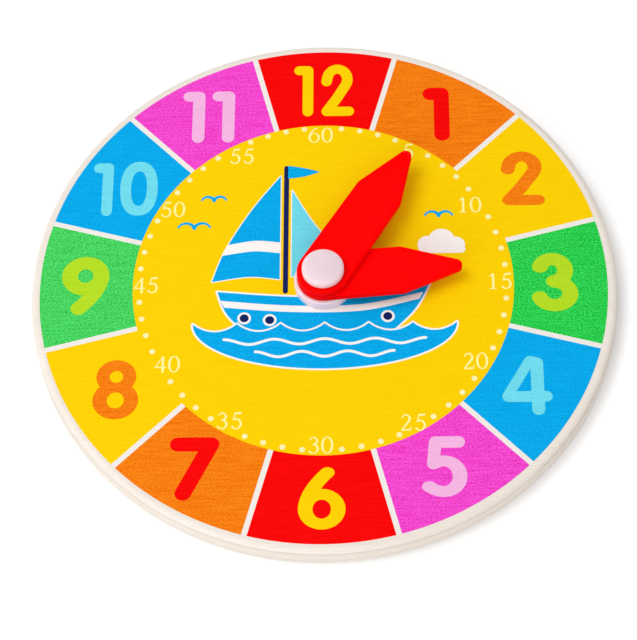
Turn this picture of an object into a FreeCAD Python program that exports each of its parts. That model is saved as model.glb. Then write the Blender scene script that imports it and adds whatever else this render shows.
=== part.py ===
"""Flat teaching clock: a round plywood board with two hands that turn on a plastic snap rivet.

Millimetres, +Z up out of the dial, +Y towards 12 o'clock, +X towards 3 o'clock. The origin is the
centre of the board's back face, which lies on the table.
"""

import FreeCAD, Part
import math
import os
import Sketcher

VECTOR = FreeCAD.Vector
ORIGIN = -1  # sketch geometry: the origin with the horizontal axis
UPRIGHT = -2  # sketch geometry: the vertical axis
START, END, CENTRE = 1, 2, 3  # points of a sketch's line or arc
NEAR = 1e-4  # two lengths closer than this are the same

DRIVING = {
    # The board, a plywood disc with its printed face up
    "board_diameter": 150.0,
    "board_thickness": 6.0,
    "board_face_round": 1.5,
    "board_back_chamfer": 0.6,
    # The rivet's hollow half: a flange let into the board's back, and a sleeve up through the stack
    "flange_diameter": 14.0,
    "flange_thickness": 1.4,
    "flange_depth": 0.4,
    "flange_chamfer": 0.3,
    "sleeve_diameter": 6.0,
    "sleeve_bore": 3.7,
    "catch_diameter": 5.0,
    "catch_depth": 0.9,
    # The ring that holds the hands off the board
    "spacer_diameter": 15.0,
    "spacer_height": 3.0,
    "spacer_round": 0.6,
    # Both hands share one form of outline, each with its own length, width and head
    "hand_thickness": 1.9,
    "hand_hub_radius": 6.7,
    "hand_tip_radius": 1.6,
    "hand_shoulder_round": 1.2,
    "hand_face_round": 0.5,
    "hand_back_chamfer": 0.15,
    "hour_hand_reach": 35.5,
    "hour_hand_width": 13.3,
    "hour_hand_head": 15.2,
    "minute_hand_reach": 42.2,
    "minute_hand_width": 12.8,
    "minute_hand_head": 14.6,
    # Where the hands point, clockwise from 12 o'clock in degrees
    "hour_hand_angle": 85.4,
    "minute_hand_angle": 31.7,
    # The rivet's cap: a shallow dome on a split pin with a barbed end
    "cap_diameter": 10.7,
    "cap_edge_height": 2.0,
    "cap_crown_height": 0.5,
    "cap_edge_round": 1.1,
    "pin_diameter": 3.5,
    "pin_end_diameter": 2.9,
    "barb_diameter": 4.5,
    "barb_length": 0.7,
    "split_width": 0.8,
    "split_length": 6.0,
    # Clearances
    "running_fit": 0.06,
    "running_gap": 0.1,
    "seat_fit": 0.1,
    "catch_gap": 0.05,
}

# Sizes and levels that follow from the driving dimensions. Each may use those before it.
FOLLOWING = {
    "board_radius": "sizes.board_diameter / 2",
    "flange_radius": "sizes.flange_diameter / 2",
    "recess_radius": "flange_radius + sizes.seat_fit",
    "recess_depth": "sizes.flange_depth + sizes.flange_thickness",
    "sleeve_radius": "sizes.sleeve_diameter / 2",
    "seat_bore_radius": "sleeve_radius + sizes.seat_fit",
    "hand_bore_radius": "sleeve_radius + sizes.running_fit",
    "spacer_radius": "sizes.spacer_diameter / 2",
    "spacer_top": "sizes.board_thickness + sizes.spacer_height",
    "hour_hand_level": "spacer_top + sizes.running_gap",
    "minute_hand_level": "hour_hand_level + sizes.hand_thickness + sizes.running_gap",
    "cap_level": "minute_hand_level + sizes.hand_thickness + sizes.running_gap",
    "sleeve_height": "cap_level - sizes.flange_depth",
    "sleeve_bore_radius": "sizes.sleeve_bore / 2",
    "catch_radius": "sizes.catch_diameter / 2",
    "hour_shoulder_half": "sizes.hour_hand_width / 2",
    "hour_shoulder_reach": "sizes.hour_hand_reach - sizes.hour_hand_head",
    "hour_tip_centre": "sizes.hour_hand_reach - sizes.hand_tip_radius",
    "minute_shoulder_half": "sizes.minute_hand_width / 2",
    "minute_shoulder_reach": "sizes.minute_hand_reach - sizes.minute_hand_head",
    "minute_tip_centre": "sizes.minute_hand_reach - sizes.hand_tip_radius",
    "pin_radius": "sizes.pin_diameter / 2",
    "pin_end_radius": "sizes.pin_end_diameter / 2",
    "barb_radius": "sizes.barb_diameter / 2",
    "barb_top": "sizes.barb_length",
    "pin_end_level": "sizes.flange_depth + sizes.catch_depth - sizes.catch_gap - sizes.barb_length",
    "pin_length": "cap_level - pin_end_level",
    "cap_radius": "sizes.cap_diameter / 2",
    "cap_edge_top": "pin_length + sizes.cap_edge_height",
    "cap_crown_top": "cap_edge_top + sizes.cap_crown_height",
}

doc = FreeCAD.newDocument("teaching_clock")


def make_sheet(name, cells, as_text):
    """A spreadsheet with one row for each cell: its name in column A, its aliased value in B."""
    sheet = doc.addObject("Spreadsheet::Sheet", name)
    for row, (alias, content) in enumerate(cells.items(), start=1):
        sheet.set("A%d" % row, alias)
        sheet.set("B%d" % row, as_text(content))
        sheet.setAlias("B%d" % row, alias)
    doc.recompute()
    return sheet


sizes = make_sheet("sizes", DRIVING, str)
follow = make_sheet("follow", FOLLOWING, "={}".format)


def bound(alias):
    """The expression that reads a named value."""
    return ("sizes." if alias in DRIVING else "follow.") + alias


def number(alias):
    """The present number of a named value."""
    return float((sizes if alias in DRIVING else follow).get(alias))


def new_body(name):
    body = doc.addObject("PartDesign::Body", name)
    body.Label = name
    return body


def new_sketch(body, role, name):
    """A sketch on the body's own origin plane with this role."""
    sketch = body.newObject("Sketcher::SketchObject", name)
    plane = next(feature for feature in body.Origin.OriginFeatures if feature.Role == role)
    sketch.AttachmentSupport = (plane, [""])
    sketch.MapMode = "FlatFace"
    return sketch


def constrain(sketch, kind, *places, alias=None):
    """Adds a constraint, bound to a named value where it has one."""
    values = [number(alias)] if alias else []
    index = sketch.addConstraint(Sketcher.Constraint(kind, *places, *values))
    if alias:
        sketch.setExpression("Constraints[%d]" % index, bound(alias))


def place_point(sketch, geometry, point, across, up):
    """Holds a point at two named distances from the sketch's axes. None puts it on the axis."""
    if across:
        constrain(sketch, "DistanceX", ORIGIN, START, geometry, point, alias=across)
    else:
        constrain(sketch, "PointOnObject", geometry, point, UPRIGHT)
    if up:
        constrain(sketch, "DistanceY", ORIGIN, START, geometry, point, alias=up)
    else:
        constrain(sketch, "PointOnObject", geometry, point, ORIGIN)


def draw_outline(sketch, corners):
    """A closed outline of straight lines through corners, each (across, up) in named values."""
    points = [VECTOR(*(number(name) if name else 0.0 for name in corner), 0) for corner in corners]
    for first, second in zip(points, points[1:] + points[:1]):
        sketch.addGeometry(Part.LineSegment(first, second), False)
    for line in range(len(corners)):
        constrain(sketch, "Coincident", line, END, (line + 1) % len(corners), START)
    for line, (across, up) in enumerate(corners):
        place_point(sketch, line, START, across, up)


def draw_circle(sketch, radius):
    """A circle about the sketch's origin."""
    circle = Part.Circle(VECTOR(0, 0, 0), VECTOR(0, 0, 1), number(radius))
    sketch.addGeometry(circle, False)
    constrain(sketch, "Coincident", 0, CENTRE, ORIGIN, START)
    constrain(sketch, "Radius", 0, alias=radius)


def turn_profile(body, sketch, name):
    """Revolves a sketch about its vertical axis."""
    solid = body.newObject("PartDesign::Revolution", name)
    solid.Profile = sketch
    solid.ReferenceAxis = (sketch, ["V_Axis"])
    solid.Angle = 360.0
    doc.recompute()
    return solid


def pad(body, sketch, name, length):
    solid = body.newObject("PartDesign::Pad", name)
    solid.Profile = sketch
    solid.setExpression("Length", bound(length))
    doc.recompute()
    return solid


def cut_through(body, sketch, name):
    """Cuts a sketch right through the body, both ways from its plane."""
    before = body.Shape.Volume
    cut = body.newObject("PartDesign::Pocket", name)
    cut.Profile = sketch
    cut.Type = "ThroughAll"
    cut.Midplane = True
    doc.recompute()
    assert cut.Shape.Volume < before - NEAR, name + " cuts nothing"
    return cut


def cut_from(body, sketch, name, length):
    """Cuts a sketch that lies on the body's lowest face upwards, by a named depth."""
    before = body.Shape.Volume
    cut = body.newObject("PartDesign::Pocket", name)
    cut.Profile = sketch
    cut.setExpression("Length", bound(length))
    cut.Reversed = True
    doc.recompute()
    assert cut.Shape.Volume < before - NEAR, name + " cuts nothing"
    return cut


def dress_edges(body, kind, name, size, chosen):
    """A Fillet or Chamfer of a named size on the edges of the body's tip that chosen picks."""
    base = body.Tip
    picked = ["Edge%d" % (i + 1) for i, edge in enumerate(base.Shape.Edges) if chosen(edge)]
    assert picked, name + " finds no edge"
    dress = body.newObject("PartDesign::" + kind, name)
    dress.Base = (base, picked)
    dress.setExpression("Radius" if kind == "Fillet" else "Size", bound(size))
    doc.recompute()
    return dress


def lies_at(edge, level):
    """Whether the whole edge lies at a height."""
    return abs(edge.BoundBox.ZMin - level) < NEAR and abs(edge.BoundBox.ZMax - level) < NEAR


def is_ring(edge, radius, level):
    """Whether the edge is a circle of a radius about the axis at a height."""
    if edge.Degenerated or not isinstance(edge.Curve, Part.Circle):
        return False
    return abs(edge.Curve.Radius - radius) < NEAR and lies_at(edge, level)


def ring(radius, level=None):
    """A test for the circle with a named radius at a named height, or at the bottom."""
    return lambda edge: is_ring(edge, number(radius), number(level) if level else 0.0)


def make_board():
    """The disc, bored for the sleeve, with a recess in its back for the rivet's flange."""
    body = new_body("clock_board")
    disc_sketch = new_sketch(body, "XY_Plane", "board_outline")
    draw_circle(disc_sketch, "board_radius")
    pad(body, disc_sketch, "board_disc", "board_thickness")
    bore_sketch = new_sketch(body, "XY_Plane", "board_bore_circle")
    draw_circle(bore_sketch, "seat_bore_radius")
    cut_through(body, bore_sketch, "board_bore")
    recess_sketch = new_sketch(body, "XY_Plane", "board_recess_circle")
    draw_circle(recess_sketch, "recess_radius")
    cut_from(body, recess_sketch, "board_recess", "recess_depth")
    dress_edges(
        body, "Fillet", "board_face_edge", "board_face_round", ring("board_radius", "board_thickness")
    )
    dress_edges(body, "Chamfer", "board_back_edge", "board_back_chamfer", ring("board_radius"))
    return body


def make_rivet_base():
    """Flange and sleeve in one turning. The bore widens at the back into the pin's catch."""
    body = new_body("rivet_base")
    sketch = new_sketch(body, "XZ_Plane", "rivet_base_profile")
    draw_outline(
        sketch,
        [
            ("catch_radius", None),
            ("flange_radius", None),
            ("flange_radius", "flange_thickness"),
            ("sleeve_radius", "flange_thickness"),
            ("sleeve_radius", "sleeve_height"),
            ("sleeve_bore_radius", "sleeve_height"),
            ("sleeve_bore_radius", "catch_depth"),
            ("catch_radius", "catch_depth"),
        ],
    )
    turn_profile(body, sketch, "rivet_base_turning")
    dress_edges(body, "Chamfer", "flange_edge", "flange_chamfer", ring("flange_radius"))
    body.setExpression("Placement.Base.z", bound("flange_depth"))
    return body


def make_spacer():
    """The ring between the board and the hour hand, its upper edge rounded."""
    body = new_body("hub_spacer")
    ring_sketch = new_sketch(body, "XY_Plane", "spacer_outline")
    draw_circle(ring_sketch, "spacer_radius")
    pad(body, ring_sketch, "spacer_disc", "spacer_height")
    bore_sketch = new_sketch(body, "XY_Plane", "spacer_bore_circle")
    draw_circle(bore_sketch, "seat_bore_radius")
    cut_through(body, bore_sketch, "spacer_bore")
    dress_edges(body, "Fillet", "spacer_edge", "spacer_round", ring("spacer_radius", "spacer_height"))
    body.setExpression("Placement.Base.z", bound("board_thickness"))
    return body


def draw_hand(sketch, shoulder, tip_centre):
    """A lance pointing up the sketch: a round hub, two sides that leave it at a tangent and draw
    in to the shoulders, and two straight tapers that run into a round tip."""
    hub_radius, tip_radius = number("hand_hub_radius"), number("hand_tip_radius")
    tip = VECTOR(0, number(tip_centre), 0)
    axis = VECTOR(0, 0, 1)
    right_shoulder = VECTOR(*map(number, shoulder), 0)
    left_shoulder = VECTOR(-right_shoulder.x, right_shoulder.y, 0)
    right_hub, left_hub = VECTOR(hub_radius, 0, 0), VECTOR(-hub_radius, 0, 0)
    right_tip, left_tip = tip + VECTOR(tip_radius, 0, 0), tip - VECTOR(tip_radius, 0, 0)
    hub_arc = Part.ArcOfCircle(Part.Circle(VECTOR(0, 0, 0), axis, hub_radius), -math.pi, 0)
    tip_arc = Part.ArcOfCircle(Part.Circle(tip, axis, tip_radius), 0, math.pi)
    outline = [
        hub_arc,
        Part.LineSegment(right_hub, right_shoulder),
        Part.LineSegment(right_shoulder, right_tip),
        tip_arc,
        Part.LineSegment(left_tip, left_shoulder),
        Part.LineSegment(left_shoulder, left_hub),
    ]
    hub, right_side, right_taper, point, left_taper, left_side = sketch.addGeometry(outline, False)
    constrain(sketch, "Coincident", hub, CENTRE, ORIGIN, START)
    constrain(sketch, "Radius", hub, alias="hand_hub_radius")
    place_point(sketch, point, CENTRE, None, tip_centre)
    constrain(sketch, "Radius", point, alias="hand_tip_radius")
    constrain(sketch, "Coincident", right_side, END, right_taper, START)
    constrain(sketch, "Coincident", left_taper, END, left_side, START)
    place_point(sketch, right_taper, START, *shoulder)
    constrain(sketch, "Symmetric", right_taper, START, left_side, START, UPRIGHT)
    constrain(sketch, "Tangent", hub, END, right_side, START)
    constrain(sketch, "Tangent", right_taper, END, point, START)
    constrain(sketch, "Tangent", point, END, left_taper, START)
    constrain(sketch, "Tangent", left_side, END, hub, START)


def make_hand(name, hand):
    """The hour or minute hand, moulded flat, bored to run on the sleeve, its edges softened."""
    body = new_body(name)
    shoulder = (hand + "_shoulder_half", hand + "_shoulder_reach")
    shoulder_x, shoulder_y = map(number, shoulder)
    sketch = new_sketch(body, "XY_Plane", name + "_outline")
    draw_hand(sketch, shoulder, hand + "_tip_centre")
    pad(body, sketch, name + "_blade", "hand_thickness")

    def is_shoulder(edge):
        upright = edge.BoundBox.ZLength > number("hand_thickness") - NEAR
        across, along = abs(edge.CenterOfMass.x), edge.CenterOfMass.y
        return upright and abs(across - shoulder_x) < NEAR and abs(along - shoulder_y) < NEAR

    dress_edges(body, "Fillet", name + "_shoulders", "hand_shoulder_round", is_shoulder)
    dress_edges(
        body,
        "Fillet",
        name + "_face_edge",
        "hand_face_round",
        lambda edge: lies_at(edge, number("hand_thickness")),
    )
    dress_edges(
        body, "Chamfer", name + "_back_edge", "hand_back_chamfer", lambda edge: lies_at(edge, 0.0)
    )
    bore_sketch = new_sketch(body, "XY_Plane", name + "_bore_circle")
    draw_circle(bore_sketch, "hand_bore_radius")
    cut_through(body, bore_sketch, name + "_bore")
    body.Placement.Rotation = FreeCAD.Rotation(VECTOR(0, 0, -1), number(hand + "_hand_angle"))
    body.setExpression("Placement.Rotation.Angle", bound(hand + "_hand_angle") + " * 1 deg")
    body.setExpression("Placement.Base.z", bound(hand + "_hand_level"))
    return body


def make_rivet_cap():
    """Domed head and pin in one turning, from the pin's end up, with the pin split for its barbs."""
    body = new_body("rivet_cap")
    sketch = new_sketch(body, "XZ_Plane", "rivet_cap_profile")
    corners = [
        (None, None),
        ("pin_end_radius", None),
        ("barb_radius", "barb_top"),
        ("pin_radius", "barb_top"),
        ("pin_radius", "pin_length"),
        ("cap_radius", "pin_length"),
        ("cap_radius", "cap_edge_top"),
    ]
    points = [VECTOR(*(number(name) if name else 0.0 for name in corner), 0) for corner in corners]
    crown = VECTOR(0, number("cap_crown_top"), 0)
    rise, span = number("cap_crown_height"), number("cap_radius")
    dome_radius = (rise * rise + span * span) / (2 * rise)
    dome_centre = crown - VECTOR(0, dome_radius, 0)
    rim_angle = math.asin(1 - rise / dome_radius)
    dome = Part.ArcOfCircle(
        Part.Circle(dome_centre, VECTOR(0, 0, 1), dome_radius), rim_angle, math.pi / 2
    )
    lines = [Part.LineSegment(first, second) for first, second in zip(points, points[1:])]
    run = sketch.addGeometry(lines + [dome, Part.LineSegment(crown, points[0])], False)
    for first, second in zip(run, run[1:-1]):
        constrain(sketch, "Coincident", first, END, second, START)
    arc, spine = run[-2:]
    constrain(sketch, "Coincident", arc, END, spine, START)
    constrain(sketch, "Coincident", spine, END, run[0], START)
    for line, (across, up) in zip(run, corners):
        place_point(sketch, line, START, across, up)
    constrain(sketch, "PointOnObject", arc, CENTRE, UPRIGHT)
    place_point(sketch, spine, START, None, "cap_crown_top")
    turn_profile(body, sketch, "rivet_cap_turning")
    dress_edges(body, "Fillet", "cap_edge", "cap_edge_round", ring("cap_radius", "cap_edge_top"))
    body.setExpression("Placement.Base.z", bound("pin_end_level"))
    return body


def split_pin(body):
    """The slot up the middle of the pin that lets its two barbed legs close as they go in."""
    sketch = new_sketch(body, "XZ_Plane", "pin_split_outline")
    half, top = number("split_width") / 2, number("split_length")
    corners = [VECTOR(-half, 0, 0), VECTOR(half, 0, 0), VECTOR(half, top, 0), VECTOR(-half, top, 0)]
    for first, second in zip(corners, corners[1:] + corners[:1]):
        sketch.addGeometry(Part.LineSegment(first, second), False)
    for line in range(len(corners)):
        constrain(sketch, "Coincident", line, END, (line + 1) % len(corners), START)
    bottom, right, upper, left = range(len(corners))
    constrain(sketch, "Horizontal", upper)
    constrain(sketch, "PointOnObject", bottom, START, ORIGIN)
    constrain(sketch, "Symmetric", bottom, START, bottom, END, UPRIGHT)
    constrain(sketch, "Vertical", right)
    constrain(sketch, "Vertical", left)
    constrain(sketch, "DistanceX", bottom, START, bottom, END, alias="split_width")
    constrain(sketch, "DistanceY", right, START, right, END, alias="split_length")
    cut_through(body, sketch, "pin_split")


board = make_board()
rivet_base = make_rivet_base()
spacer = make_spacer()
hour_hand = make_hand("hour_hand", "hour")
minute_hand = make_hand("minute_hand", "minute")
rivet_cap = make_rivet_cap()
split_pin(rivet_cap)
pieces = [board, rivet_base, spacer, hour_hand, minute_hand, rivet_cap]
doc.recompute()

for item in doc.Objects:
    assert not {"Invalid", "Error"} & set(item.State), item.Name + " failed"
for piece in pieces:
    assert not piece.Shape.isNull() and piece.Shape.isValid(), piece.Label + " is not valid"
    assert len(piece.Shape.Solids) == 1, piece.Label + " is not one solid"

os.makedirs("parts", exist_ok=True)
for piece in pieces:
    piece.Shape.exportStep("parts/" + piece.Label + ".step")
    box = piece.Shape.BoundBox
    print("%-12s %8.1f mm3  z %.2f to %.2f" % (piece.Label, piece.Shape.Volume, box.ZMin, box.ZMax))
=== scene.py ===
"""Looks for the flat teaching clock: a printed dial on plywood, with plastic hands and rivet.

Places on the dial are in millimetres from the print's own centre, +X towards 3 o'clock and +Y
towards 12, and turn into metres where a mesh is made. Turns are clockwise from 12 in degrees.
"""

import math
from functools import partial

import bmesh
import bpy
from mathutils import Matrix, Vector
from mathutils.geometry import delaunay_2d_cdt


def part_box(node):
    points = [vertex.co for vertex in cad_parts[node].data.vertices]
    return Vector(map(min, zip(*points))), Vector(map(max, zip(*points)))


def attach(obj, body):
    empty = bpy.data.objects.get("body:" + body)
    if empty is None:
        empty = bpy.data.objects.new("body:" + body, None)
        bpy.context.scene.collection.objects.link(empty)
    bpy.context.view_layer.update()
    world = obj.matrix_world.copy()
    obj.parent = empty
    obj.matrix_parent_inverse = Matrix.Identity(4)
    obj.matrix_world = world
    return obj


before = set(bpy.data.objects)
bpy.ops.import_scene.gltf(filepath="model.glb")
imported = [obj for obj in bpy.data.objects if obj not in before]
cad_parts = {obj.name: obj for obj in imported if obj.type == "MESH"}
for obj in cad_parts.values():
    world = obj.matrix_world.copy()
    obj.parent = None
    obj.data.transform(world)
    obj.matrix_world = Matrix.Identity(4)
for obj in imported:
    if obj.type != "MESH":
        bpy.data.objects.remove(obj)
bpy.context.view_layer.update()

MM = 0.001
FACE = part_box("clock_board")[1].z  # height of the board's face

# The print lies a little off the board's middle
PRINT_CENTRE = (-0.2, 0.0)
INK = 0.02  # thickness of one layer of ink

# Dial
RING_RADIUS = 72.65  # outer edge of the hour fields
DISC_RADIUS = 48.8  # yellow disc
FIELD_OVERLAP = 0.6  # the hour fields run on under the disc
DIVIDER_WIDTH = 1.4
DIVIDER_LEAN = 0.22  # the dividers stand turned this far clockwise, in degrees
DIVIDER_CENTRE = (0.07, 0.12)  # where their lines would meet
DIVIDER_SHORT = 0.005  # they end this far inside the fields, so that no two edges lie together
DOT_RING = (47.05, 47.7)  # half width and half height of the ring of minute dots
DOT_CENTRE = (-0.12, 0.26)
DOT_RADIUS = 0.74
HOUR_RADIUS = 60.2  # middles of the hour numerals
MINUTE_RADIUS = 45.4  # middles of the minute numerals
MINUTE_HEIGHT = 4.7

# Light, as a multiple of what shows a white surface as just white
LIGHT = 1.15

# Plywood
PLIES = 5
GLUE = 0.4  # width of a glue line as it shows
GLUE_SOFTNESS = 0.15  # half the width over which it fades into the wood
GLUE_LINES = ((1, 0.4), (2, 0.16), (3, 0.12), (4, 0.2))  # plies below the face, and strength


# ---------------------------------------------------------------- materials


def colour(red, green, blue):
    """The linear colour that shows as an sRGB one, in 0 to 255, under the studio's light. Above 255
    it clips."""

    def linear(value):
        share = value / 255
        bright = share / 12.92 if share <= 0.04045 else ((share + 0.055) / 1.055) ** 2.4
        return bright / LIGHT

    return (linear(red), linear(green), linear(blue), 1.0)


def new_material(name):
    """A material with its node tree and its Principled shader."""
    material = bpy.data.materials.new(name)
    material.use_nodes = True
    return material, material.node_tree, material.node_tree.nodes["Principled BSDF"]


def add_node(tree, kind, links=(), **settings):
    """A node with its settings, and links into it as (socket, from socket) pairs."""
    node = tree.nodes.new("ShaderNode" + kind)
    for key, value in settings.items():
        setattr(node, key, value)
    for socket, source in links:
        tree.links.new(source, node.inputs[socket])
    return node


def own_place(tree):
    """The place on the object, in metres."""
    return add_node(tree, "TexCoord").outputs["Object"]


def noise(tree, place, stretch, detail=2.0, roughness=0.5):
    """Noise from 0 to 1 whose grains are stretch millimetres long along each axis."""
    scale = tuple(1 / (size * MM) for size in stretch)
    mapping = add_node(tree, "Mapping", [("Vector", place)])
    mapping.inputs["Scale"].default_value = scale
    texture = add_node(tree, "TexNoise", [("Vector", mapping.outputs["Vector"])])
    texture.inputs["Scale"].default_value = 1.0
    texture.inputs["Detail"].default_value = detail
    texture.inputs["Roughness"].default_value = roughness
    return texture.outputs["Fac"]


def spread(tree, value, low, high, start=0.3, end=0.7):
    """Maps the middle of a noise to a range of numbers."""
    node = add_node(tree, "MapRange", [("Value", value)], clamp=True)
    node.inputs["From Min"].default_value = start
    node.inputs["From Max"].default_value = end
    node.inputs["To Min"].default_value = low
    node.inputs["To Max"].default_value = high
    return node.outputs["Result"]


def compute(tree, operation, first, second=0.0):
    """One operation on one or two values, each a socket or a number."""
    node = add_node(tree, "Math", operation=operation)
    for socket, value in zip(node.inputs, (first, second)):
        if isinstance(value, (int, float)):
            socket.default_value = value
        else:
            tree.links.new(value, socket)
    return node.outputs["Value"]


def blend(tree, factor, first, second):
    """Mixes two colours, each a socket or a linear colour, by a factor: a socket or a number."""
    node = add_node(tree, "Mix", data_type="RGBA")
    factor_in, first_in, second_in = node.inputs[0], node.inputs[6], node.inputs[7]
    for socket, value in ((factor_in, factor), (first_in, first), (second_in, second)):
        if isinstance(value, (float, tuple)):
            socket.default_value = value
        else:
            tree.links.new(value, socket)
    return node.outputs[2]


def bump(tree, shader, height, depth):
    """Raises the surface by height times depth millimetres."""
    node = add_node(tree, "Bump", [("Height", height)])
    node.inputs["Strength"].default_value = 1.0
    node.inputs["Distance"].default_value = depth * MM
    tree.links.new(node.outputs["Normal"], shader.inputs["Normal"])


def shifted(tint, amount):
    """An sRGB colour made lighter or darker by an amount in 0 to 255, as a linear colour."""
    return colour(*(min(max(value + amount, 0), 255) for value in tint))


def make_ink(name, tint, streaks, speckle):
    """Flat ink on sanded wood. The grain shows through as fine streaks, and the ink's own fine
    speckle is lighter and darker than its tint, both by amounts in 0 to 255."""
    material, tree, shader = new_material(name)
    place = own_place(tree)
    grain = noise(tree, place, (7.0, 0.5, 7.0), detail=2.0, roughness=0.6)
    dots = noise(tree, place, (0.5, 0.27, 0.5), detail=1.0)
    cloud = noise(tree, place, (11.0, 8.0, 9.0))
    fleck = spread(tree, dots, 0.0, 1.0, 0.38, 0.62)
    flecks = blend(tree, fleck, shifted(tint, -speckle), shifted(tint, speckle))
    line = spread(tree, grain, 0.0, 1.0, 0.35, 0.65)
    lines = blend(tree, line, shifted(tint, -streaks), shifted(tint, streaks))
    share = spread(tree, cloud, 0.42, 0.62)
    tree.links.new(blend(tree, share, flecks, lines), shader.inputs["Base Color"])
    tree.links.new(spread(tree, grain, 0.45, 0.6), shader.inputs["Roughness"])
    shader.inputs["Specular IOR Level"].default_value = 0.015
    bump(tree, shader, compute(tree, "ADD", grain, dots), 0.004)
    return material


def make_plastic(name, tint, shade, wall_painted_shading, gloss, roughness, glow):
    """Moulded plastic: a faint mottle of tint and shade, fine handling marks and a soft orange-peel
    surface. Its side walls, told by their normals, are tinted towards the wall colour, which is
    painted shading: a side colour that stands in for how light falls on them, not a colour of the
    plastic. Light passes into it by glow millimetres in red, green and blue."""
    material, tree, shader = new_material(name)
    place = own_place(tree)
    mottle = noise(tree, place, (6.0, 6.0, 6.0), detail=3.0)
    peel = noise(tree, place, (0.9, 0.9, 0.9), detail=2.0)
    marks = noise(tree, place, (5.0, 0.12, 5.0), detail=2.0, roughness=0.7)
    own_normal = add_node(tree, "TexCoord").outputs["Normal"]
    upright = add_node(tree, "SeparateXYZ", [("Vector", own_normal)]).outputs["Z"]
    # Painted shading: the side walls, found by how they face, take the wall colour instead of the
    # face's
    side_shading_share = spread(tree, compute(tree, "ABSOLUTE", upright), 1.0, 0.0, 0.15, 0.9)
    face = blend(tree, spread(tree, mottle, 0.0, 1.0), colour(*tint), colour(*shade))
    tree.links.new(blend(tree, side_shading_share, face, colour(*wall_painted_shading)), shader.inputs["Base Color"])
    shader.inputs["Subsurface Weight"].default_value = 1.0
    shader.inputs["Subsurface Radius"].default_value = glow
    shader.inputs["Subsurface Scale"].default_value = MM
    sheen = spread(tree, peel, roughness, roughness + 0.08)
    scuffs = spread(tree, marks, 0.0, 0.06, 0.6, 0.8)
    tree.links.new(compute(tree, "ADD", sheen, scuffs), shader.inputs["Roughness"])
    shader.inputs["Specular IOR Level"].default_value = gloss
    bump(tree, shader, peel, 0.006)
    return material


def make_plywood():
    """Pale plywood of five plies, their grain along X and Y by turns, with glue lines between. The
    second and fourth run along Y and are duller."""
    material, tree, shader = new_material("plywood")
    place = own_place(tree)
    height = add_node(tree, "SeparateXYZ", [("Vector", place)]).outputs["Z"]
    board = FACE / MM
    ply = board / PLIES
    long_grain = noise(tree, place, (16.0, 0.5, 0.5), detail=4.0, roughness=0.6)
    cross_grain = noise(tree, place, (0.35, 12.0, 0.3), detail=3.0, roughness=0.6)
    figure = noise(tree, place, (60.0, 6.0, 6.0), detail=2.0)
    grained = spread(tree, long_grain, 0.0, 1.0)
    pale = blend(tree, grained, colour(242, 234, 226), colour(232, 222, 211))
    pale = blend(tree, spread(tree, figure, 0.0, 0.5), pale, colour(230, 218, 205))
    grained = spread(tree, cross_grain, 0.0, 1.0)
    dull = blend(tree, grained, colour(239, 229, 219), colour(229, 217, 205))

    def band(centre, half, soft=0.06):
        """1 within half of a height, in millimetres, and 0 outside, with a soft edge."""
        away = compute(tree, "ABSOLUTE", compute(tree, "SUBTRACT", height, centre * MM))
        return spread(tree, away, 1.0, 0.0, (half - soft) * MM, (half + soft) * MM)

    second, fourth = band(board - 1.5 * ply, ply / 2), band(1.5 * ply, ply / 2)
    wood = blend(tree, compute(tree, "MAXIMUM", second, fourth), pale, dull)
    glue = colour(178, 156, 136)
    for level, strength in GLUE_LINES:
        line = band(board - level * ply, GLUE / 2, GLUE_SOFTNESS)
        wood = blend(tree, compute(tree, "MULTIPLY", line, strength), wood, glue)
    tree.links.new(wood, shader.inputs["Base Color"])
    tree.links.new(spread(tree, long_grain, 0.55, 0.72), shader.inputs["Roughness"])
    shader.inputs["Specular IOR Level"].default_value = 0.15
    bump(tree, shader, compute(tree, "ADD", long_grain, cross_grain), 0.015)
    return material


# Inks: name, sRGB tint, and how far the wood's streaks and the ink's speckle stray from it
INKS = {
    "white": make_ink("ink_white", (250, 244, 240), 4, 5),
    "yellow": make_ink("ink_yellow", (253, 207, 0), 5, 9),
    "red": make_ink("ink_red", (248, 1, 2), 9, 12),
    "orange": make_ink("ink_orange", (252, 122, 4), 17, 26),
    "green": make_ink("ink_green", (24, 199, 66), 16, 56),
    "leaf": make_ink("ink_leaf", (62, 204, 88), 14, 44),
    "lime": make_ink("ink_lime", (179, 219, 36), 6, 12),
    "blue": make_ink("ink_blue", (0, 167, 232), 9, 18),
    "sky": make_ink("ink_sky", (111, 218, 235), 7, 12),
    "pink": make_ink("ink_pink", (253, 62, 200), 18, 42),
    "blush": make_ink("ink_blush", (243, 180, 224), 6, 8),
    "cream": make_ink("ink_cream", (249, 239, 174), 3, 3),
    "straw": make_ink("ink_straw", (254, 244, 158), 3, 3),
    "chalk": make_ink("ink_chalk", (239, 233, 227), 4, 5),
    "navy": make_ink("ink_navy", (22, 34, 92), 5, 5),
}


# ---------------------------------------------------------------- flat shapes


def on_ellipse(centre, radii, angle):
    """The place on an ellipse at an angle in degrees, anticlockwise from +X."""
    turn = math.radians(angle)
    return centre[0] + radii[0] * math.cos(turn), centre[1] + radii[1] * math.sin(turn)


def arc(centre, radii, first, last, steps=24):
    """Points on an ellipse from one angle to another."""
    angles = [first + (last - first) * step / steps for step in range(steps + 1)]
    return [on_ellipse(centre, radii, angle) for angle in angles]


def ellipse(centre, radii, steps=48, squareness=2.0):
    """A closed ellipse. A squareness above 2 fills out its corners."""
    points = []
    for step in range(steps):
        angle = 2 * math.pi * step / steps
        across, up = math.cos(angle), math.sin(angle)
        points.append((
            centre[0] + radii[0] * math.copysign(abs(across) ** (2 / squareness), across),
            centre[1] + radii[1] * math.copysign(abs(up) ** (2 / squareness), up),
        ))
    return points


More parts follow.
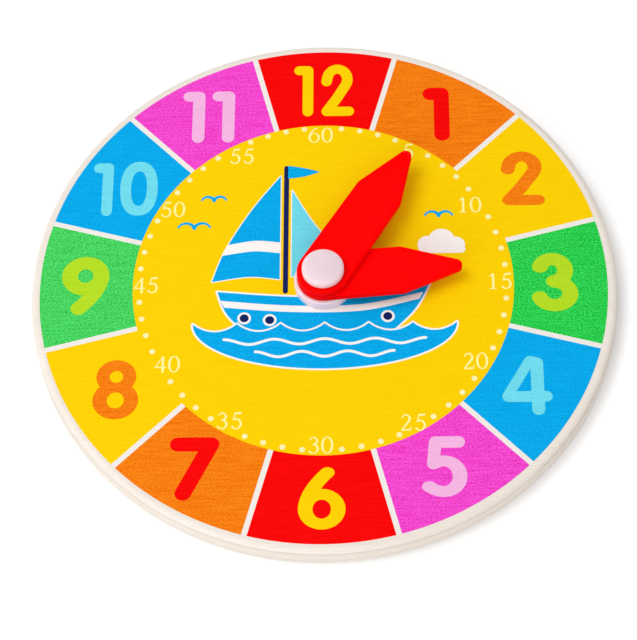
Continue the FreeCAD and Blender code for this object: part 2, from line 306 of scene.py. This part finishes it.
def stroke(points, pen):
    """The outline that a round pen leaves along a smooth line. The pen is its width and height, or
    one such pair for the start and one for the end."""
    start_pen, end_pen = pen if isinstance(pen[0], tuple) else (pen, pen)
    last = len(points) - 1
    left, right = [], []
    for index, point in enumerate(points):
        share = index / last
        half = Vector((
            (start_pen[0] + (end_pen[0] - start_pen[0]) * share) / 2,
            (start_pen[1] + (end_pen[1] - start_pen[1]) * share) / 2,
        ))
        before, after = points[max(index - 1, 0)], points[min(index + 1, last)]
        # The line's direction, as it is where the pen counts as round
        across, up = (after[0] - before[0]) / half.x, (after[1] - before[1]) / half.y
        turn = math.degrees(math.atan2(up, across))
        if index == 0:
            left += arc(point, half, turn + 270, turn + 90, 12)
        elif index == last:
            left += arc(point, half, turn + 90, turn - 90, 12)
        else:
            left.append(on_ellipse(point, half, turn + 90))
            right.append(on_ellipse(point, half, turn - 90))
    return left + right[::-1]


def on_ring(radius, turn, off=(0, 0)):
    """The place at a turn clockwise from 12 on a ring, moved off it by a little."""
    angle = math.radians(turn)
    return radius * math.sin(angle) + off[0], radius * math.cos(angle) + off[1]


def divider_turn(hour, radius):
    """How far clockwise from 12 the divider after an hour's field crosses a ring."""
    turn = 30 * hour + 15
    angle = math.radians(turn)
    aside = DIVIDER_CENTRE[0] * math.cos(angle) - DIVIDER_CENTRE[1] * math.sin(angle)
    return turn + DIVIDER_LEAN + math.degrees(aside / radius)


def divider(hour):
    """The line between an hour's field and the next."""
    ends = (DISC_RADIUS - FIELD_OVERLAP, RING_RADIUS - DIVIDER_SHORT)
    inner, outer = (Vector(on_ring(radius, divider_turn(hour, radius))) for radius in ends)
    along = (outer - inner).normalized()
    across = Vector((along.y, -along.x)) * DIVIDER_WIDTH / 2
    places = (inner - across, inner + across, outer + across, outer - across)
    return [tuple(place) for place in places]


def field(hour):
    """One hour's field: a piece of the ring between two dividers of constant width."""

    def edge(radius):
        inset = math.degrees(math.asin(DIVIDER_WIDTH / 2 / radius))
        first, last = divider_turn(hour - 1, radius) + inset, divider_turn(hour, radius) - inset
        return arc((0, 0), (radius, radius), 90 - last, 90 - first, 20)

    return edge(RING_RADIUS) + edge(DISC_RADIUS - FIELD_OVERLAP)[::-1]


def anticlockwise(outline):
    """The same outline, turned round if it runs clockwise."""
    sides = zip(outline, outline[1:] + outline[:1])
    area = sum(start[0] * end[1] - end[0] * start[1] for start, end in sides)
    return outline if area > 0 else outline[::-1]


INSIDE = 1  # asks for the triangles inside the outlines
CLOSE = 1e-6  # two points nearer than this, in millimetres, are one


def slab(name, shapes, holes, level, ink):
    """A layer of ink: everything inside any of the shapes and outside all holes, as one closed
    solid from just inside the board's face up to its level. Every outline is cut into one flat net
    of triangles, which names the outlines that each triangle lies in."""
    points, faces = [], []
    for outline in shapes + holes:
        faces.append(list(range(len(points), len(points) + len(outline))))
        points += [Vector(point) for point in anticlockwise(outline)]
    net, _, triangles, _, _, sources = delaunay_2d_cdt(points, [], faces, INSIDE, CLOSE)
    first_hole = len(shapes)
    kept = [
        triangle
        for triangle, source in zip(triangles, sources)
        if source and max(source) < first_hole
    ]
    solid = bmesh.new()
    low, high = FACE - INK * MM / 2, FACE + level * INK * MM
    shift = Vector(PRINT_CENTRE)
    used = sorted({index for triangle in kept for index in triangle})
    places = {index: (net[index] + shift) * MM for index in used}
    top = {index: solid.verts.new((place.x, place.y, high)) for index, place in places.items()}
    bottom = {index: solid.verts.new((place.x, place.y, low)) for index, place in places.items()}
    edges = {}  # each triangle's own, in order and anticlockwise
    for triangle in kept:
        first, second, third = (net[index] for index in triangle)
        if (second - first).cross(third - first) < 0:
            triangle = triangle[::-1]
        solid.faces.new([top[index] for index in triangle])
        solid.faces.new([bottom[index] for index in reversed(triangle)])
        for edge in zip(triangle, list(triangle[1:]) + [triangle[0]]):
            edges[edge] = True
    for start, end in edges:
        if (end, start) not in edges:
            solid.faces.new([top[end], top[start], bottom[start], bottom[end]])
    mesh = bpy.data.meshes.new(name)
    solid.to_mesh(mesh)
    solid.free()
    mesh.materials.append(INKS[ink])
    piece = bpy.data.objects.new(name, mesh)
    bpy.context.collection.objects.link(piece)
    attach(piece, "board")


# ---------------------------------------------------------------- numerals


def in_box(box, pen):
    """Two functions that turn places and arcs in a digit's box, 0 to 1 each way, into ones on the
    dial. The box is left, bottom, width and height, and a line drawn along its edge with the pen
    stays inside it."""
    left, bottom, width, height = box

    def place(across, up):
        return (
            left + pen[0] / 2 + across * (width - pen[0]),
            bottom + pen[1] / 2 + up * (height - pen[1]),
        )

    def bend(centre, radii, first, last):
        reach = (radii[0] * (width - pen[0]), radii[1] * (height - pen[1]))
        return arc(place(*centre), reach, first, last)

    return place, bend


def ring_shapes(place, reach, pen, squareness=2.0):
    """An oval bowl drawn with the pen: its outside and its hole."""
    outer = ellipse(place, (reach[0] + pen[0] / 2, reach[1] + pen[1] / 2), squareness=squareness)
    inner = ellipse(place, (reach[0] - pen[0] / 2, reach[1] - pen[1] / 2), squareness=squareness)
    return outer, inner


def round_digit(digit, box, pen):
    """A bold digit with round ends: its shapes and holes."""
    place, bend = in_box(box, pen)
    wide, tall = box[2] - pen[0], box[3] - pen[1]

    def draw(*points):
        return stroke(list(points), pen)

    if digit == "0":
        outer, inner = ring_shapes(place(0.5, 0.5), (wide / 2, tall / 2), pen, 2.3)
        return [outer], [inner]
    if digit == "1":
        return [draw(place(0, 0.975), place(1, 0.975)), draw(place(1, 0.975), place(1, 0))], []
    if digit == "2":
        bow = [place(-0.01, 0.705)] + bend((0.48, 0.755), (0.46, 0.245), 165, -35)
        return [
            stroke(bow + [place(0.465, 0.31), place(0, 0)], pen),
            draw(place(0, 0), place(1, 0)),
        ], []
    if digit == "3":
        upper = bend((0.45, 0.759), (0.41, 0.244), 161, -84)
        lower = bend((0.49, 0.256), (0.50, 0.256), 88, -161)
        return [stroke(upper, pen), stroke(lower, pen)], []
    if digit == "4":
        slanted_pen = (pen[0] * 0.82, pen[1] * 0.82)
        return [
            draw(place(0.785, 0.965), place(0.785, 0)),
            draw(place(0.775, 0.965), place(0.615, 0.995)),
            stroke([place(0.595, 1.01), place(-0.026, 0.285)], slanted_pen),
            draw(place(0, 0.268), place(1, 0.268)),
        ], []
    if digit == "5":
        straight_pen = (pen[0] * 0.86, pen[1] * 1.07)
        bowl = bend((0.475, 0.307), (0.525, 0.307), 122, -105)
        return [
            stroke([place(0.985, 0.992), place(0.224, 0.992)], straight_pen),
            stroke([place(0.224, 0.992), place(0.146, 0.56)], straight_pen),
            stroke(bowl + [place(0.17, 0.04), place(0.005, 0.1)], pen),
        ], []
    if digit in "69":
        bowl = 0.288
        outer, inner = ring_shapes(place(0.5, bowl), (wide / 2, tall * bowl), pen)
        steps = [step / 20 for step in range(21)]
        tail = [place(0.67 * step ** 1.85, bowl + (1 - bowl) * step) for step in steps]
        shapes, holes = [outer, stroke(tail, pen)], [inner]
        if digit == "6":
            return shapes, holes
        middle = (box[0] + box[2] / 2, box[1] + box[3] / 2)

        def turned(outline):
            return [(2 * middle[0] - x, 2 * middle[1] - y) for x, y in outline]

        return [turned(outline) for outline in shapes], [turned(outline) for outline in holes]
    if digit == "7":
        return [draw(place(0, 1), place(1, 1)), draw(place(1, 1), place(0.19, 0))], []
    # What is left is the 8
    upper = ring_shapes(place(0.5, 0.764), (wide * 0.426, tall * 0.237), (pen[0] * 0.92, pen[1]))
    lower = ring_shapes(place(0.5, 0.277), (wide * 0.5, tall * 0.277), pen)
    return [upper[0], lower[0]], [upper[1], lower[1]]


# Each hour numeral: its digits with their widths, height, pen, and how far it sits off its place
HOURS = {
    1: ((("1", 7.0),), 17.3, (4.1, 3.95), (-0.1, 0.05)),
    2: ((("2", 11.1),), 16.6, (3.65, 3.05), (0.05, 1.35)),
    3: ((("3", 12.1),), 17.2, (4.1, 3.6), (-1.1, -0.15)),
    4: ((("4", 12.5),), 16.7, (3.2, 3.0), (-1.15, 0.25)),
    5: ((("5", 11.2),), 16.55, (3.6, 2.95), (-0.2, 0.0)),
    6: ((("6", 11.6),), 16.75, (3.55, 2.9), (-0.15, -0.2)),
    7: ((("7", 12.3),), 17.2, (4.1, 3.85), (-1.5, 0.05)),
    8: ((("8", 11.5),), 16.7, (3.6, 3.05), (0.3, 0.25)),
    9: ((("9", 12.2),), 17.2, (4.1, 3.75), (-0.85, 0.4)),
    10: ((("1", 5.25), ("0", 9.85)), 16.7, (2.85, 3.0), (0.2, -0.35)),
    11: ((("1", 5.95), ("1", 6.1)), 16.75, (3.3, 3.15), (-0.5, 0.1)),
    12: ((("1", 5.15), ("2", 8.7)), 16.65, (2.85, 2.95), (0.15, 0.0)),
}
HOUR_GAPS = {10: 1.9, 11: 1.85, 12: 2.2}  # between the digits
# The ink of each hour's field and of its numeral
FIELD_INKS = {
    12: ("red", "yellow"), 1: ("orange", "red"), 2: ("yellow", "orange"), 3: ("green", "lime"),
    4: ("blue", "sky"), 5: ("pink", "blush"), 6: ("red", "yellow"), 7: ("orange", "red"),
    8: ("yellow", "orange"), 9: ("leaf", "lime"), 10: ("blue", "sky"), 11: ("pink", "blush"),
}


def set_digits(digits, height, middle, gap, draw_digit):
    """Sets digits of given widths side by side about a middle. Returns their shapes and holes."""
    total = sum(width for _, width in digits) + gap * (len(digits) - 1)
    left, bottom = middle[0] - total / 2, middle[1] - height / 2
    shapes, holes = [], []
    for digit, width in digits:
        more_shapes, more_holes = draw_digit(digit, (left, bottom, width, height))
        shapes += more_shapes
        holes += more_holes
        left += width + gap
    return shapes, holes


def make_fields():
    """The twelve hour fields with their numerals, and the white lines between them."""
    slab("dividers", [divider(hour) for hour in range(12)], [], 1, "chalk")
    for hour, (ground, ink) in FIELD_INKS.items():
        slab("field_%02d" % hour, [field(hour)], [], 1, ground)
        digits, height, pen, off = HOURS[hour]
        middle = on_ring(HOUR_RADIUS, 30 * hour, off)
        gap = HOUR_GAPS.get(hour, 0)
        shapes, holes = set_digits(digits, height, middle, gap, partial(round_digit, pen=pen))
        slab("hour_%02d" % hour, shapes, holes, 2, ink)


THIN, THICK = 0.27, 0.59  # strokes of the serif digits
SERIF_WIDTHS = {"0": 3.0, "1": 1.8, "2": 2.75, "3": 2.5, "4": 2.9, "5": 2.5, "6": 3.0}
# Each minute numeral: the gap between its digits, and how far it sits off its place
MINUTES = {
    5: (0, (-0.2, 1.0)), 10: (0.9, (-1.0, 0.75)), 15: (1.4, (0.0, 0.35)),
    20: (0.45, (-0.9, -0.1)), 25: (1.0, (-0.2, -0.6)), 30: (0.45, (-0.3, -0.6)),
    35: (1.0, (-0.3, 0.35)), 40: (0.45, (0.2, -0.1)), 45: (0.8, (0.0, 0.3)),
    50: (0.55, (0.3, 0.4)), 55: (1.0, (1.35, 0.1)), 60: (0.45, (-0.7, 0.4)),
}


def serif_digit(digit, box):
    """A small digit with thick and thin strokes and serifs: its shapes and holes."""
    hair, stem = (THIN, THIN), (THICK, THIN)
    place, bend = in_box(box, (THIN, THIN))
    wide, tall = box[2], box[3]
    swell = (hair, (THICK, THICK))
    if digit == "0":
        outer = ellipse(place(0.5, 0.5), (wide / 2, tall / 2), squareness=2.1)
        inner = ellipse(place(0.5, 0.5), (wide / 2 - THICK, tall / 2 - THIN), squareness=2.1)
        return [outer], [inner]
    if digit == "1":
        return [
            stroke([place(0.55, 0.97), place(0.55, 0.02)], (THICK, THIN)),
            stroke([place(0.0, 0.82), place(0.5, 0.98)], (hair, (THIN, THIN * 1.6))),
            stroke([place(0.0, 0.0), place(1.0, 0.0)], hair),
        ], []
    if digit == "2":
        bow = bend((0.47, 0.73), (0.38, 0.25), 165, -32)
        return [
            stroke(bow, swell),
            stroke([bow[-1], place(0.02, 0.02)], ((THICK, THICK), hair)),
            stroke([place(0.05, 0.03), place(0.92, 0.03)], (THIN, THIN * 1.7)),
            stroke([place(0.92, 0.03), place(1.0, 0.2)], hair),
        ], []
    if digit == "3":
        upper = bend((0.42, 0.77), (0.40, 0.22), 160, -80)
        lower = bend((0.38, 0.28), (0.52, 0.27), 85, -150)
        return [stroke(upper, swell), stroke(lower, ((THICK, THIN), (THICK * 0.8, THIN)))], []
    if digit == "4":
        return [
            stroke([place(0.72, 0.98), place(0.72, 0.0)], stem),
            stroke([place(0.68, 0.98), place(0.0, 0.3)], hair),
            stroke([place(0.0, 0.3), place(1.0, 0.3)], (THIN, THIN * 1.3)),
        ], []
    if digit == "5":
        bowl = bend((0.4, 0.31), (0.52, 0.31), 120, -150)
        return [
            stroke([place(0.3, 0.96), place(0.95, 0.99)], (THIN, THIN * 2)),
            stroke([place(0.27, 0.97), place(0.12, 0.58)], hair),
            stroke(bowl, ((THICK, THICK * 0.8), (THICK * 0.8, THIN))),
        ], []
    # What is left is the 6
    outer = ellipse(place(0.5, 0.31), (wide / 2, tall * 0.33))
    inner = ellipse(place(0.5, 0.31), (wide / 2 - THICK * 0.95, tall * 0.33 - THIN))
    tail = bend((1.05, 0.3), (1.0, 0.72), 180, 105)
    return [outer, stroke(tail, ((THICK, THICK), hair))], [inner]


def make_minutes():
    """The yellow disc with its ring of dots, broken by a numeral at every fifth minute."""
    slab("disc", [ellipse((0, 0), (DISC_RADIUS, DISC_RADIUS), 192)], [], 2, "yellow")
    dots = []
    for minute in range(1, 61):
        if minute % 5:
            place = on_ellipse(DOT_CENTRE, DOT_RING, 90 - 6 * minute)
            dots.append(ellipse(place, (DOT_RADIUS, DOT_RADIUS), 20))
            continue
        digits = [(digit, SERIF_WIDTHS[digit]) for digit in str(minute)]
        gap, off = MINUTES[minute]
        middle = on_ring(MINUTE_RADIUS, 6 * minute, off)
        shapes, holes = set_digits(digits, MINUTE_HEIGHT, middle, gap, serif_digit)
        slab("minute_%02d" % minute, shapes, holes, 3, "straw")
    slab("minute_dots", dots, [], 3, "cream")


# ---------------------------------------------------------------- picture


CORNER = 0  # marks a point of a smooth curve as a corner
MAST_X = -9.6
MAST_GAP = 1.5  # from the mast's middle line to the sails
MAST_WIDTH = 1.3
BOAT_EDGE = 1.0  # width of the white line round the hull and the sea, half of it outside them
SAIL_EDGE = 0.5
PORT_RADIUS = 1.15
PORT_RING_RADIUS = 1.75
SEA_LEFT, SEA_RIGHT, SEA_LEVEL = -33.0, 34.0, -11.5
FOAM = 0.75  # width of a line of foam, and how far it swings up and down


def smooth(points, steps=8):
    """A closed curve through points, with a corner at each that has CORNER as its third number."""
    curve = []
    count = len(points)
    for index in range(count):
        before, start, end, after = (Vector(points[(index + k) % count][:2]) for k in (-1, 0, 1, 2))
        if len(points[index]) == 3:
            before = start
        if len(points[(index + 1) % count]) == 3:
            after = end
        for step in range(steps):
            share = step / steps
            curve.append(tuple(
                0.5 * (
                    2 * start
                    + (end - before) * share
                    + (2 * before - 5 * start + 4 * end - after) * share * share
                    + (3 * start - before - 3 * end + after) * share * share * share
                )
            ))
    return curve


def outlined(shape, width):
    """A shape grown by half a width all round."""
    closed = shape + shape[:1]
    return [shape] + [stroke(list(pair), (width, width)) for pair in zip(closed, closed[1:])]


def discs(places, radius):
    """A round disc at each place."""
    return [ellipse(place, (radius, radius), 32) for place in places]


def make_hull():
    """The blue hull with its white band and three portholes."""
    hull = smooth([
        (-27.0, -2.0, CORNER), (-8.0, -3.6), (10.0, -3.4), (27.5, 0.4, CORNER),
        (23.5, -7.5), (17.0, -14.5, CORNER), (-19.0, -14.5, CORNER), (-24.5, -8.5),
    ])
    band = smooth([
        (-26.2, -4.6, CORNER), (-8.0, -6.2), (10.0, -6.0), (25.6, -2.6, CORNER),
        (24.6, -4.6, CORNER), (10.0, -7.9), (-8.0, -8.1), (-25.2, -6.6, CORNER),
    ])
    ports = [(-20.0, -9.8), (-13.5, -10.4), (16.5, -9.6)]
    slab("boat_hull_edge", outlined(hull, BOAT_EDGE), [], 3, "white")
    slab("boat_hull", [hull], [], 4, "blue")
    slab("boat_band", [band], [], 5, "white")
    slab("boat_port_rings", discs(ports, PORT_RING_RADIUS), [], 5, "white")
    slab("boat_ports", discs(ports, PORT_RADIUS), [], 6, "navy")


def wave(left, right, level, count, steps=60):
    """A line that swings up and down a number of times about a level."""
    shares = [step / steps for step in range(steps + 1)]
    return [
        (left + (right - left) * share, level + FOAM * math.cos(2 * math.pi * count * share))
        for share in shares
    ]


def make_sea():
    """The sea in front of the boat: crests along its top, a round bed and two lines of foam."""
    crests, steps, hollow, depth = 6, 10, 2.3, 13.0
    span = (SEA_RIGHT - SEA_LEFT) / crests
    surface = []
    for crest in range(crests):
        start = SEA_LEFT + crest * span
        for step in range(steps):
            sink = hollow * math.sin(math.pi * step / steps) ** 0.8
            surface.append((start + span * step / steps, SEA_LEVEL - sink))
    middle, half = (SEA_LEFT + SEA_RIGHT) / 2, (SEA_RIGHT - SEA_LEFT) / 2
    sea = surface + arc((middle, SEA_LEVEL), (half, depth), 0, -180, 60)
    slab("sea_edge", outlined(sea, BOAT_EDGE), [], 5, "white")
    slab("sea", [sea], [], 6, "blue")
    foam = [
        stroke(wave(-25.0, 26.0, SEA_LEVEL - 5.2, 4), (FOAM, FOAM)),
        stroke(wave(-17.0, 18.0, SEA_LEVEL - 8.8, 3), (FOAM, FOAM)),
    ]
    slab("sea_foam", foam, [], 7, "white")


def make_rig():
    """The mast with its two sails and the pennant."""
    back, front = MAST_X - MAST_GAP, MAST_X + MAST_GAP
    mast = stroke([(MAST_X, -2.0), (MAST_X, 35.5)], (MAST_WIDTH, MAST_WIDTH))
    main_sail = smooth([
        (back, 33.0, CORNER), (-18.6, 22.5), (-25.2, 10.5), (-28.5, 1.0, CORNER),
        (-19.0, 2.4), (back, 1.6, CORNER),
    ])
    stripe = smooth([
        (-24.6, 12.0, CORNER), (-17.5, 13.2), (back, 12.6, CORNER),
        (back, 9.4, CORNER), (-18.0, 10.0), (-25.9, 8.8, CORNER),
    ])
    jib = smooth([
        (front, 28.5, CORNER), (-2.2, 18.0), (5.5, 8.6), (13.5, 1.8, CORNER),
        (2.0, 3.0), (front, 2.4, CORNER),
    ])
    pennant = smooth([
        (MAST_X + 0.4, 36.2, CORNER), (-5.0, 35.4), (-0.8, 34.2, CORNER), (-5.0, 32.8),
        (MAST_X + 0.4, 32.2, CORNER),
    ])
    slab("mast", [mast], [], 4, "navy")
    slab("sails_edge", outlined(main_sail, SAIL_EDGE) + outlined(jib, SAIL_EDGE), [], 4, "white")
    slab("main_sail", [main_sail], [], 5, "blue")
    slab("sail_stripe", [stripe], [], 6, "white")
    slab("jib", [jib], [], 5, "sky")
    slab("pennant", [pennant], [], 5, "blue")


def make_sky():
    """Three gulls, each two wings, and a cloud of three puffs on a flat base."""
    pens = ((0.5, 0.5), (0.95, 0.95))
    gulls = []
    for x, y, size in [(-33.5, 17.0, 4.2), (-28.5, 25.5, 3.2), (30.0, 20.0, 3.6)]:
        reach = (size / 2, size * 0.42)
        gulls.append(stroke(arc((x - size / 2, y), reach, 165, 8, 12), pens))
        gulls.append(stroke(arc((x + size / 2, y), reach, 15, 172, 12), pens))
    slab("gulls", gulls, [], 3, "blue")
    puffs = [((27.0, 11.5), 2.6), ((30.6, 12.8), 3.4), ((34.2, 11.4), 2.4)]
    cloud = [ellipse(place, (radius, radius), 40) for place, radius in puffs]
    cloud.append(stroke([(26.0, 10.0), (35.4, 10.0)], (2.6, 2.2)))
    slab("cloud", cloud, [], 3, "white")


def make_picture():
    """A sailing boat on the sea, in blue and white on the yellow disc."""
    make_hull()
    make_sea()
    make_rig()
    make_sky()


# ---------------------------------------------------------------- object


def dress_nodes():
    """Gives each of the frame's own pieces its finish."""
    plywood = make_plywood()
    # The wall colours are painted shading on the side walls: on the red almost the face's red, on
    # the white lighter than its face
    red = make_plastic(
        "red_plastic", tint=(269, 1, 2), shade=(265, 1, 2), wall_painted_shading=(268, 1, 2),
        gloss=0.02, roughness=0.36, glow=(2.0, 0.3, 0.3),
    )
    # The pink and lilac in the white plastic's tint is painted reflection of the red hands and the
    # blue print beside it, given to the whole piece
    white = make_plastic(
        "white_plastic", tint=(239, 220, 226), shade=(232, 212, 219), wall_painted_shading=(248, 222, 230),
        gloss=0.25, roughness=0.3, glow=(1.5, 1.2, 1.2),
    )
    finishes = {
        "clock_board": plywood, "hour_hand": red, "minute_hand": red,
        "rivet_base": white, "hub_spacer": white, "rivet_cap": white,
    }
    for name, material in finishes.items():
        for part_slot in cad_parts[name].material_slots:
            part_slot.material = material


# ---------------------------------------------------------------- studio


FILL = 0.63 * LIGHT  # the light from all round
FLOOR_HALF = 3.0  # half the floor's width, in metres
# Each round lamp's place and width, in metres, and its power in watts
LAMPS = {
    "key": ((-0.53, 0.10, 1.09), 0.8, 5.3 * LIGHT),
    "front": ((-0.45, -1.1, 0.5), 0.8, 4.8 * LIGHT),
}


def make_floor():
    """A white floor that takes the object's shadow and is lit to plain white elsewhere."""
    half = FLOOR_HALF
    outline = [(-half, -half, 0), (half, -half, 0), (half, half, 0), (-half, half, 0)]
    mesh = bpy.data.meshes.new("floor")
    mesh.from_pydata(outline, [], [(0, 1, 2, 3)])
    floor = bpy.data.objects.new("floor", mesh)
    bpy.context.collection.objects.link(floor)
    material, _, shader = new_material("floor")
    shader.inputs["Base Color"].default_value = (0.98, 0.98, 0.98, 1)
    shader.inputs["Roughness"].default_value = 0.9
    shader.inputs["Specular IOR Level"].default_value = 0.0
    mesh.materials.append(material)


def make_world():
    """Even light from all round, and plain white for the rays that show the background itself,
    straight or in gloss or glass."""
    world = bpy.data.worlds.new("studio")
    bpy.context.scene.world = world
    world.use_nodes = True
    tree = world.node_tree
    path = add_node(tree, "LightPath").outputs
    mirrored = compute(tree, "MAXIMUM", path["Is Glossy Ray"], path["Is Transmission Ray"])
    seen = compute(tree, "MAXIMUM", path["Is Camera Ray"], mirrored)
    level = compute(tree, "ADD", compute(tree, "MULTIPLY", seen, 1 - FILL), FILL)
    background = tree.nodes["Background"]
    tree.links.new(level, background.inputs["Strength"])
    background.inputs["Color"].default_value = (1, 1, 1, 1)


def make_lamps():
    """The lamps, all turned to the object."""
    for name, (place, width, power) in LAMPS.items():
        lamp = bpy.data.lights.new(name, "AREA")
        lamp.shape = "DISK"
        lamp.size = width
        lamp.energy = power
        holder = bpy.data.objects.new(name, lamp)
        holder.location = place
        holder.rotation_euler = (-Vector(place)).to_track_quat("-Z", "Y").to_euler()
        bpy.context.collection.objects.link(holder)


def make_camera():
    """Looks down on the dial from 60 degrees up, a little from the right and slightly rolled."""
    elevation, azimuth, roll = map(math.radians, (60.48, 3.137, -3.387))
    distance, aside, below = 625.65, -1.131, -9.133  # millimetres from the print's centre
    back = Vector((
        math.sin(azimuth) * math.cos(elevation),
        -math.cos(azimuth) * math.cos(elevation),
        math.sin(elevation),
    ))
    level_right = Vector((0, 0, 1)).cross(back).normalized()
    level_up = back.cross(level_right)
    right = math.cos(roll) * level_right + math.sin(roll) * level_up
    up = back.cross(right)
    centre = Vector((PRINT_CENTRE[0], PRINT_CENTRE[1], FACE / MM))
    place = (centre + back * distance + right * aside + up * below) * MM
    camera = bpy.data.objects.new("camera", bpy.data.cameras.new("camera"))
    camera.data.sensor_width = 36.0
    camera.data.lens = 137.51
    turn = Matrix((right, up, back)).transposed().to_4x4()
    camera.matrix_world = Matrix.Translation(place) @ turn
    bpy.context.collection.objects.link(camera)
    bpy.context.scene.camera = camera


dress_nodes()
make_fields()
make_minutes()
make_picture()
make_floor()
make_world()
make_lamps()
make_camera()
bpy.context.scene.view_settings.view_transform = "Standard"
